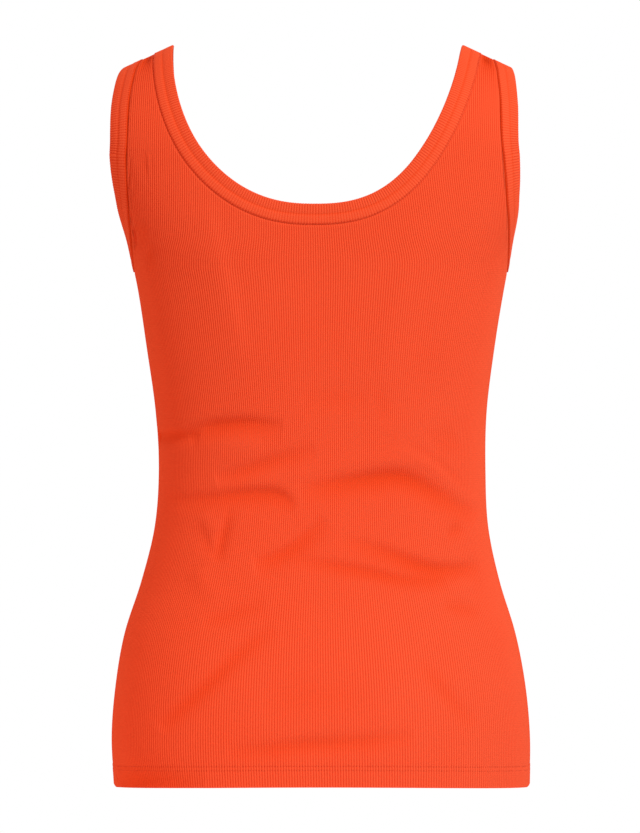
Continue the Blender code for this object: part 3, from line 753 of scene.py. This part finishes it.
def even_ring(halves, step):
    """Even steps along half-lines joined end to end: (side, sign, line, direction) each."""
    sides, across, falls = [], [], []
    for side, sign, line, direction in halves:
        run = line[::direction]
        sides.append(np.full(len(run) - 1, side))
        across.append(sign * run[:-1, 0])
        falls.append(run[:-1, 1])
    sides, across, falls = (np.concatenate(values) for values in (sides, across, falls))
    points = form(sides, across, falls)
    gaps = np.linalg.norm(points - np.roll(points, -1, axis=0), axis=1)
    lengths = np.concatenate(([0.0], np.cumsum(gaps)))
    count = int(round(lengths[-1] / step)) * PER_RIB
    wanted = np.linspace(0.0, lengths[-1], count + 1)[:-1]
    left = np.searchsorted(lengths, wanted, side="right") - 1
    share = (wanted - lengths[left]) / gaps[left]
    after = (left + 1) % len(sides)
    next_across, next_falls = crossing(sides[left], across[after], falls[after], sides[after])
    return (sides[left], across[left] + (next_across - across[left]) * share,
            falls[left] + (next_falls - falls[left]) * share, lengths[-1])


def crossing(side, across, falls, other_side):
    """The next spot, told in terms of this spot's side: past a seam it goes on beyond it."""
    other = side != other_side
    at_side = other & (np.abs(across) > 0.9)
    across = np.where(at_side, np.sign(across) * (2.0 - np.abs(across)), across)
    falls = np.where(other & ~at_side, -falls, falls)
    return across, falls


def walk(sides, across, falls, heading, width):
    """Carry every spot over the form for a width. Gives points and normals, step by step."""
    step = width / WALK_STEPS
    passed = []
    for _ in range(WALK_STEPS):
        by_across, by_fall, normal = slopes(sides, across, falls)
        heading = heading - normal * np.sum(heading * normal, axis=-1, keepdims=True)
        heading = heading / np.linalg.norm(heading, axis=-1, keepdims=True)
        aa, bb = np.sum(by_across**2, axis=-1), np.sum(by_fall**2, axis=-1)
        ab = np.sum(by_across * by_fall, axis=-1)
        ha, hb = np.sum(heading * by_across, axis=-1), np.sum(heading * by_fall, axis=-1)
        bottom = aa * bb - ab * ab
        across = across + step * (ha * bb - hb * ab) / bottom
        falls = falls + step * (hb * aa - ha * ab) / bottom
        passed.append((form(sides, across, falls), slopes(sides, across, falls)[2]))
    return passed


# %% The band's own form


def band_lift(distance, groove, level):
    """Height of a band's outside at a distance from its seam. Level fades its shape at the shoulder."""
    rolled = ease(distance / ROLL_WIDTH)
    past = distance - MID_LINE
    lift = -ROLL_DEPTH * (1.0 - rolled)
    lift += TURNED_IN * (1.0 - ease(past / TURNED_SOFT))
    lift -= NEEDLE_DIP * math.exp(-((distance - NEEDLE) / BAND_NEEDLE_SOFT)**2)
    lift -= FURROW * math.exp(-((past - FURROW_PAST) / FURROW_WIDTH)**2)
    lift += CROWN * math.sin(math.pi * ease(past / (BINDING_WIDTH - MID_LINE)))
    ribbed = SEWN_RIBS + (1.0 - SEWN_RIBS) * ease(past / RIBS_GROW)
    return BINDING_PROUD + level * lift - RIB_HEIGHT * groove * ribbed * rolled


def band_piece(name, ring, hand, seam_shade):
    """A folded, ribbed band all round an opening."""
    sides, across, falls, length = ring
    points = form(sides, across, falls)
    along = np.roll(points, -1, axis=0) - np.roll(points, 1, axis=0)
    normals = slopes(sides, across, falls)[2]
    heading = np.cross(normals, along)
    heading *= hand / np.linalg.norm(heading, axis=-1, keepdims=True)
    groove = (np.arange(len(points)) % PER_RIB == 0).astype(float)
    level = ease(falls / TOP_EVEN)
    steps = [(points + heading * SEAM_GAP, normals)] + walk(sides, across, falls, heading, BINDING_WIDTH)
    distances = np.linspace(0.0, BINDING_WIDTH, WALK_STEPS + 1)
    inner = BINDING_PROUD - BINDING_WALL
    skins, around = [], []
    for distance, (place, normal) in zip(distances[:-1], steps[:-1]):
        skins.append(place + normal * band_lift(distance, groove, level)[:, None])
        around.append(distance)
    edge, edge_normal = steps[-1]
    outwards = edge - steps[-2][0]
    outwards /= np.linalg.norm(outwards, axis=-1, keepdims=True)
    middle = BINDING_PROUD - BINDING_WALL / 2
    radius = BINDING_WALL / 2 * (1.0 - FOLD_GROOVE * groove[:, None])
    centre = edge - outwards * (BINDING_WALL / 2) + edge_normal * middle
    for number, angle in enumerate(np.radians(FOLD_ANGLES)):
        skins.append(centre + radius * (outwards * math.cos(angle) + edge_normal * math.sin(angle)))
        around.append(BINDING_WIDTH + FOLD_STEP * (number + 1))
    for number in UNDER_STEPS:
        place, normal = steps[number]
        skins.append(place + normal * inner)
        around.append(2 * BINDING_WIDTH - distances[number])
    skins.append(points - heading * ALLOWANCE + normals * (inner - ALLOWANCE_DROP))
    around.append(2 * BINDING_WIDTH + ALLOWANCE)
    skins = np.array(skins)
    rows, columns = skins.shape[:2]
    ids = np.arange(rows * columns).reshape(rows, columns)
    faces = grid_faces(np.pad(ids, ((0, 1), (0, 1)), mode="wrap"), hand > 0)
    ribs_along = np.arange(columns) / PER_RIB
    around = np.array(around)[:, None]
    # Painted shade along the seam and just past the mid line.
    shade_share = seam_shade * np.exp(-(around / SEAM_SHADE_WIDTH)**2)
    shade_share += MID_SHADE * np.exp(-((around - MID_LINE - FURROW_PAST) / MID_SHADE_WIDTH)**2)
    knit = np.stack(np.broadcast_arrays(ribs_along[None, :], around / COURSE, shade_share), axis=-1)
    print(name, "is", round(length, 3), "m long at its seam,", columns // PER_RIB, "ribs")
    piece = mesh_piece(name, skins.reshape(-1, 3), faces, knit.reshape(-1, 3))
    return piece, steps, distances, level


# %% Neck and armhole bands
neck_halves = ((BACK, 1, NECK_LINES[BACK], 1), (FRONT, 1, NECK_LINES[FRONT], -1))
neck_ring = even_ring(neck_halves, BINDING_RIB)
neck_band, *neck_sewn = band_piece("neck_binding_knit", neck_ring, -1, NECK_SEAM_SHADE)

arm_bands = {}
for word, sign in (("left", -1), ("right", 1)):
    halves = ((BACK, sign, ARMHOLE_LINES[BACK], 1), (FRONT, sign, ARMHOLE_LINES[FRONT], -1))
    arm_ring = even_ring(halves, BINDING_RIB)
    arm_bands[word] = band_piece("armhole_binding_%s_knit" % word, arm_ring, sign, ARM_SEAM_SHADE)

# %% [markdown]
# ## Materials
#
# Close up, rib knit is columns of small V-shaped loops of yarn. The UV map counts ribs and rows of loops,
# so a sine of those counts draws the loops as bump, and the grooves between ribs are given painted shade:
# the deeper, redder colour that light takes when it bounces about between dyed threads. The hollows get
# more of this painted shade. The cloth has no gloss, and a little sheen stands for the fuzz of cotton.

# %% Node helpers


def feed(tree, socket, value):
    """Give a socket a number, a colour or another node's output."""
    if isinstance(value, bpy.types.NodeSocket):
        tree.links.new(value, socket)
    else:
        socket.default_value = (*value, 1.0) if isinstance(value, tuple) else value


def math_node(tree, operation, *values):
    """A Math node on outputs or numbers. Gives its output."""
    node = tree.nodes.new("ShaderNodeMath")
    node.operation = operation
    for socket, value in zip(node.inputs, values):
        feed(tree, socket, value)
    return node.outputs[0]


def noise_node(tree, vector, scale, detail):
    """A Noise texture on a vector. Gives its value."""
    node = tree.nodes.new("ShaderNodeTexNoise")
    node.inputs["Scale"].default_value = scale
    node.inputs["Detail"].default_value = detail
    tree.links.new(vector, node.inputs["Vector"])
    return node.outputs["Fac"]


def mixed(tree, share, low, high):
    """Mix two colours, each an output or a colour, by a share."""
    node = tree.nodes.new("ShaderNodeMix")
    node.data_type = "RGBA"
    for label, value in (("Factor", share), ("A", low), ("B", high)):
        feed(tree, node.inputs[label], value)
    return node.outputs["Result"]


# %% Knitted cotton
# The groove colours are darker and redder than the crest colours: painted shade between the ribs.
CREST = (0.640, 0.0498, 0.0150)
GROOVE = (0.540, 0.0145, 0.0018)
WORN = (0.660, 0.0550, 0.0172)
# Painted shade: the colour that creases, strap tops, side seams and band lines are darkened towards, and a
# darker one for the deepest of them.
SHADE_COLOUR = (0.610, 0.023, 0.0001)
DARKEST_SHADE_COLOUR = (0.250, 0.008, 0.0010)
BAND_CREST = (0.635, 0.0515, 0.0158)
BAND_GROOVE = (0.545, 0.0195, 0.0030)
CREST_SPREAD = 0.6              # below 1, the crest's colour reaches down into the groove
PATCHINESS = 0.35
DARK_POWER = 4.0                # so that only the deepest hollows turn dark
LOOP_BEND = 0.55                # rows by which a loop's middle is shifted against its sides
LOOP_RELIEF, FUZZ_RELIEF = 0.35, 0.6


def knit_material(name, crest, groove):
    """Rib knit: painted shade in the grooves and the hollows, V-shaped loops in bump, soft unevenness and
    a cotton sheen.
    """
    material, tree, shader = add_material(name, roughness=0.88, specular=0.0)
    shader.inputs["Sheen Weight"].default_value = 0.03
    shader.inputs["Sheen Roughness"].default_value = 0.45
    shader.inputs["Sheen Tint"].default_value = (1.0, 0.62, 0.40, 1.0)

    uv = tree.nodes.new("ShaderNodeUVMap")
    uv.uv_map = "Knit"
    split = tree.nodes.new("ShaderNodeSeparateXYZ")
    tree.links.new(uv.outputs["UV"], split.inputs["Vector"])
    rib, row = split.outputs["X"], split.outputs["Y"]
    crown = math_node(tree, "ABSOLUTE", math_node(tree, "SINE", math_node(tree, "MULTIPLY", rib, math.pi)))

    bent = math_node(tree, "ADD", row, math_node(tree, "MULTIPLY", crown, LOOP_BEND))
    loops = math_node(tree, "SINE", math_node(tree, "MULTIPLY", bent, 2 * math.pi))
    fuzz = noise_node(tree, uv.outputs["UV"], 6.0, 3.0)
    height = math_node(tree, "ADD", math_node(tree, "MULTIPLY", loops, LOOP_RELIEF),
                       math_node(tree, "MULTIPLY", fuzz, FUZZ_RELIEF))
    bump = tree.nodes.new("ShaderNodeBump")
    bump.inputs["Strength"].default_value = 0.35
    bump.inputs["Distance"].default_value = 0.0004
    tree.links.new(height, bump.inputs["Height"])
    tree.links.new(bump.outputs["Normal"], shader.inputs["Normal"])

    place = tree.nodes.new("ShaderNodeTexCoord")
    patches = noise_node(tree, place.outputs["Object"], 16.0, 2.0)
    # Painted shade in the grooves.
    ribbed = mixed(tree, math_node(tree, "POWER", crown, CREST_SPREAD), groove, crest)
    worn = mixed(tree, math_node(tree, "MULTIPLY", patches, PATCHINESS), ribbed, WORN)
    # Painted shade from the point attribute, and its fourth power darkens the deepest parts further.
    shade_share = tree.nodes.new("ShaderNodeAttribute")
    shade_share.attribute_name = "Shade_Share"
    deep = mixed(tree, shade_share.outputs["Fac"], worn, SHADE_COLOUR)
    dark = math_node(tree, "POWER", shade_share.outputs["Fac"], DARK_POWER)
    tree.links.new(mixed(tree, dark, deep, DARKEST_SHADE_COLOUR), shader.inputs["Base Color"])
    return material


panel_knit = knit_material("panel_rib_knit", CREST, GROOVE)
band_knit = knit_material("binding_rib_knit", BAND_CREST, BAND_GROOVE)
for panel in (back_panel, front_panel):
    panel.data.materials.append(panel_knit)
neck_band.data.materials.append(band_knit)
for word in arm_bands:
    arm_bands[word][0].data.materials.append(band_knit)
print("materials:", panel_knit.name, band_knit.name)

# %% [markdown]
# ## Sewing
#
# The needle lines are rows of single stitches, each a short, thick dash of thread that sinks into the
# cloth at both ends. One stitch is modelled from a small cylinder. Its copies are then laid end to end
# along each line and joined, because so many loose objects would be a burden.

# %% One stitch
STITCH = 0.0026                 # from one needle hole to the next
THREAD = 0.00042
STITCH_CUTS = (0.18, -0.18)     # where along it the stitch starts to bend down
STITCH_TIP = 0.4                # points beyond this are its tips
TIP_SHARE = 0.55                # the tips' thickness, and how deep they sink
STITCH_SHARE = 0.86             # thread that shows between two needle holes
THREAD_RISE = THREAD * 0.1      # its middle line lies this far above the cloth

bpy.ops.mesh.primitive_cylinder_add(vertices=6, radius=0.5, depth=1.0, rotation=(0.0, math.pi / 2, 0.0))
stitch_pattern = bpy.context.object
bpy.ops.object.transform_apply(location=True, rotation=True, scale=True)
bpy.ops.object.mode_set(mode="EDIT")
for place in STITCH_CUTS:
    bpy.ops.mesh.select_all(action="SELECT")
    bpy.ops.mesh.bisect(plane_co=(place, 0.0, 0.0), plane_no=(1.0, 0.0, 0.0))
bpy.ops.object.mode_set(mode="OBJECT")
for vertex in stitch_pattern.data.vertices:
    if abs(vertex.co.x) > STITCH_TIP:
        vertex.co.y *= TIP_SHARE
        vertex.co.z = vertex.co.z * TIP_SHARE - TIP_SHARE
stitch_points = np.array([vertex.co[:] for vertex in stitch_pattern.data.vertices])
stitch_faces = [tuple(face.vertices) for face in stitch_pattern.data.polygons]
bpy.data.objects.remove(stitch_pattern, do_unlink=True)
print("one stitch has", len(stitch_faces), "faces")

# %% Rows of stitches


def stitch_row(line, normals):
    """Points of stitches laid end to end round a closed line that lies on the cloth."""
    line = np.concatenate((line, line[:1]))
    normals = np.concatenate((normals, normals[:1]))
    lengths = np.concatenate(([0.0], np.cumsum(np.linalg.norm(np.diff(line, axis=0), axis=1))))
    count = int(lengths[-1] / STITCH)
    holes = np.linspace(0.0, lengths[-1], count + 1)

    def at(values, where):
        return np.stack([np.interp(where, lengths, values[:, axis]) for axis in range(3)], axis=-1)

    ends = at(line, holes)
    middles = (ends[:-1] + ends[1:]) / 2
    along = ends[1:] - ends[:-1]
    size = np.linalg.norm(along, axis=1, keepdims=True)
    along = along / size
    up = at(normals, (holes[:-1] + holes[1:]) / 2)
    up = up - along * np.sum(up * along, axis=1, keepdims=True)
    up /= np.linalg.norm(up, axis=1, keepdims=True)
    across = np.cross(up, along)
    x, y, z = (stitch_points[:, axis][None, :, None] for axis in range(3))
    points = (middles[:, None] + along[:, None] * x * size[:, None] * STITCH_SHARE
              + across[:, None] * y * THREAD + up[:, None] * z * THREAD)
    return points.reshape(-1, 3)


def sewing_piece(name, rows):
    """Join rows of stitches in one object."""
    points = np.concatenate(rows)
    faces = []
    for start in range(0, len(points), len(stitch_points)):
        faces.extend(tuple(start + corner for corner in face) for face in stitch_faces)
    mesh = bpy.data.meshes.new(name)
    mesh.from_pydata(points.tolist(), [], faces)
    mesh.shade_smooth()
    piece = add_object(name, mesh)
    print(name, len(faces), "faces in", len(rows), "rows")
    return piece


def band_rows(steps, distances, level):
    """The needle line of a band."""
    number = int(np.argmin(np.abs(distances - NEEDLE)))
    place, normal = steps[number]
    lift = band_lift(distances[number], 0.0, level) + THREAD_RISE
    return [stitch_row(place + normal * lift[:, None], normal)]


def hem_rows():
    """The two needle lines all round the hem."""
    rows = []
    for needle in HEM_NEEDLES:
        shares = np.linspace(-0.999, 0.999, 400)
        falls = np.full(len(shares), HEM_FALL - needle)
        line, normals = [], []
        for side, order in ((BACK, 1), (FRONT, -1)):
            across = shares[::order]
            points = form(side, across, falls)
            normal = slopes(side, across, falls)[2]
            lift = crease_height(side, across, points) + hem_lift(needle) + THREAD_RISE
            line.append(points + normal * lift[:, None])
            normals.append(normal)
        rows.append(stitch_row(np.concatenate(line), np.concatenate(normals)))
    return rows


neck_sewing = sewing_piece("neck_stitches", band_rows(*neck_sewn))
arm_sewing = {}
for word in arm_bands:
    arm_sewing[word] = sewing_piece("armhole_stitches_" + word, band_rows(*arm_bands[word][1:]))
hem_sewing = sewing_piece("hem_stitches", hem_rows())

# %% Sewing thread
THREAD_DARK = (0.48, 0.020, 0.004)
THREAD_LIGHT = (0.62, 0.042, 0.011)

thread, thread_tree, thread_shader = add_material("sewing_thread", roughness=0.85, specular=0.05)
thread_place = thread_tree.nodes.new("ShaderNodeTexCoord")
twist = noise_node(thread_tree, thread_place.outputs["Object"], 900.0, 1.0)
thread_colour = mixed(thread_tree, twist, THREAD_DARK, THREAD_LIGHT)
thread_tree.links.new(thread_colour, thread_shader.inputs["Base Color"])
for piece in (neck_sewing, hem_sewing, *arm_sewing.values()):
    piece.data.materials.append(thread)

# %% [markdown]
# ## Fitting it to the frame
#
# Each piece rides on the root, and the solid that it stands for is hidden. The size each piece was cut to
# before it was sewn and put on is printed.

# %% Ride and replace
neck_cut, arm_cut = (BINDING_WIDTH, neck_ring[3]), (BINDING_WIDTH, arm_ring[3])
cloth = [                       # piece, the solid that it replaces, finish, cut size, area, its sewing
    (back_panel, "back_panel", "panel_rib", (0.476, HEM_FALL), 0.212, hem_sewing),
    (front_panel, "front_panel", "panel_rib", (0.452, HEM_FALL), 0.198, None),
    (neck_band, "neck_binding", "binding_rib", neck_cut, None, neck_sewing),
]
for word in arm_bands:
    node = "armhole_binding_" + word
    cloth.append((arm_bands[word][0], node, "binding_rib", arm_cut, None, arm_sewing[word]))
for piece, node, finish, cut, area, sewing in cloth:
    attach(piece, "root")
    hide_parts(node)
    print(node, "was cut", round(1000 * cut[0]), "by", round(1000 * cut[1]), "mm")
for piece in (neck_sewing, *arm_sewing.values(), hem_sewing):
    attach(piece, "root")

# %% The end
bpy.ops.object.select_all(action="DESELECT")
